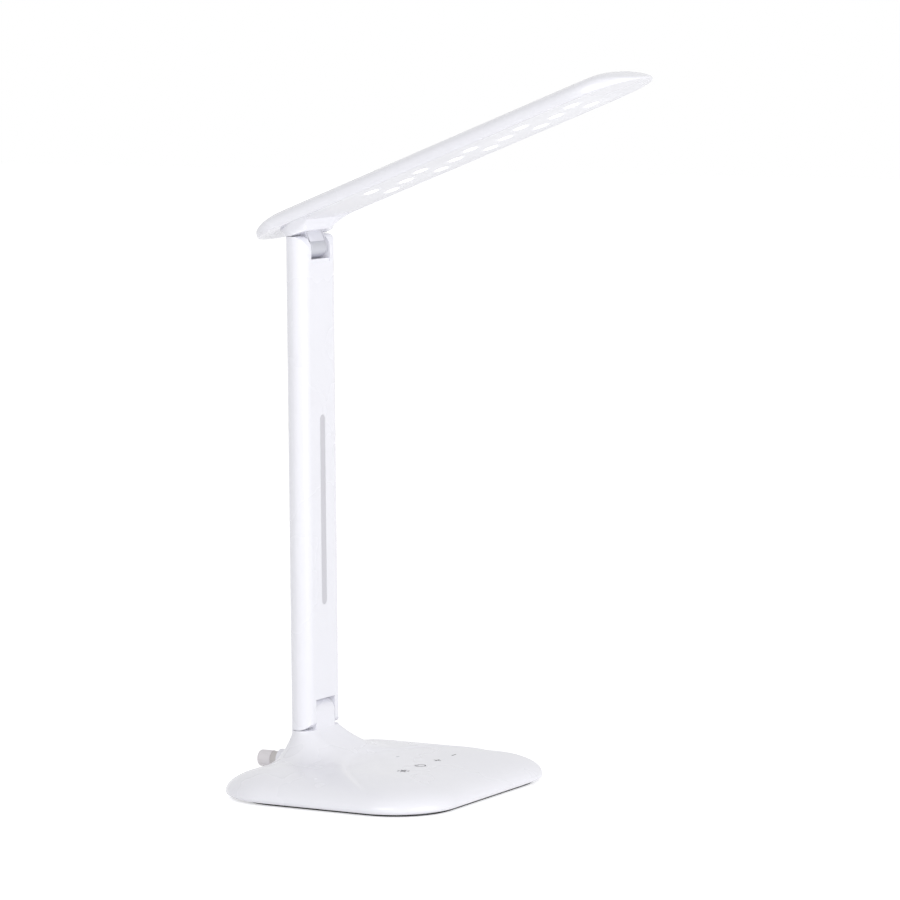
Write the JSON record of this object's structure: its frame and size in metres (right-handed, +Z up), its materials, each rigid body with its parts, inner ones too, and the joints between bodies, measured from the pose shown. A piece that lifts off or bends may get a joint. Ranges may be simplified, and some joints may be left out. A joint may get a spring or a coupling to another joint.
{
  "type": "folding led desk lamp",
  "caption": "Folding desk lamp: weighted rounded base with touch fields, upright arm on a forked hinge, long flat head with a row of light sources behind a frosted lens.",
  "frame": {"origin": "centre of the foot pad's rest face, where it meets the table", "axes": "+Z up, -Y towards the front where the head reaches, +X to the right of a viewer who stands behind the lamp; the arm stands upright and the head is raised to its stop"},
  "size_m": [0.223, 0.3383, 0.5488],
  "materials": {
    "white_housing": "glossy white moulded plastic",
    "grey_cover": "light grey moulded plastic",
    "black_pad": "black foam rubber",
    "steel_plate": "rolled steel plate",
    "zinc_screws": "zinc plated steel",
    "green_board": "glass fibre circuit board with solder mask",
    "spring_steel": "hardened spring steel",
    "clear_pipe": "clear moulded plastic",
    "dark_collar": "dark grey moulded plastic",
    "grey_gland": "warm grey moulded plastic",
    "bronze_bush": "sintered bronze",
    "grey_strip": "satin light grey plastic inlay",
    "lead_jacket": "soft wire jacket",
    "pin_steel": "turned steel",
    "frosted_lens": "frosted light diffusing plastic",
    "white_board": "aluminium core board with white solder mask",
    "light_source": "phosphor coated light source",
    "bare_aluminium": "bare rolled aluminium sheet"
  },
  "bodies": {
    "base": {"base_shell": "white_housing", "bottom_cover": "grey_cover", "foot_pad": "black_pad", "ballast_plate": "steel_plate", "cover_screws": "zinc_screws", "touch_board": "green_board", "touch_springs": "spring_steel", "board_screws": "zinc_screws", "indicator_pipe": "clear_pipe", "gland_collar": "dark_collar", "cord_gland": "grey_gland", "lower_bush": "bronze_bush"},
    "arm": {"arm_front_shell": "white_housing", "arm_back_shell": "white_housing", "arm_strip": "grey_strip", "arm_lead": "lead_jacket", "lower_pin": "pin_steel", "lower_washers": "spring_steel", "lower_nut": "zinc_screws", "upper_pin": "pin_steel", "upper_washers": "spring_steel", "upper_nut": "zinc_screws"},
    "head": {"head_housing": "white_housing", "lens": "frosted_lens", "led_board": "white_board", "leds": "light_source", "heat_spreader": "bare_aluminium", "led_screws": "zinc_screws", "upper_bush": "pin_steel"}
  },
  "joints": [
    {"name": "arm_fold", "type": "hinge", "parent": "base", "child": "arm", "pos_m": [0, 0.066, 0.055], "axis": [1, 0, 0], "range_deg": [0, 87]},
    {"name": "head_fold", "type": "hinge", "parent": "arm", "child": "head", "pos_m": [0, 0.066, 0.4135], "axis": [1, 0, 0], "range_deg": [0, 111]}
  ]
}
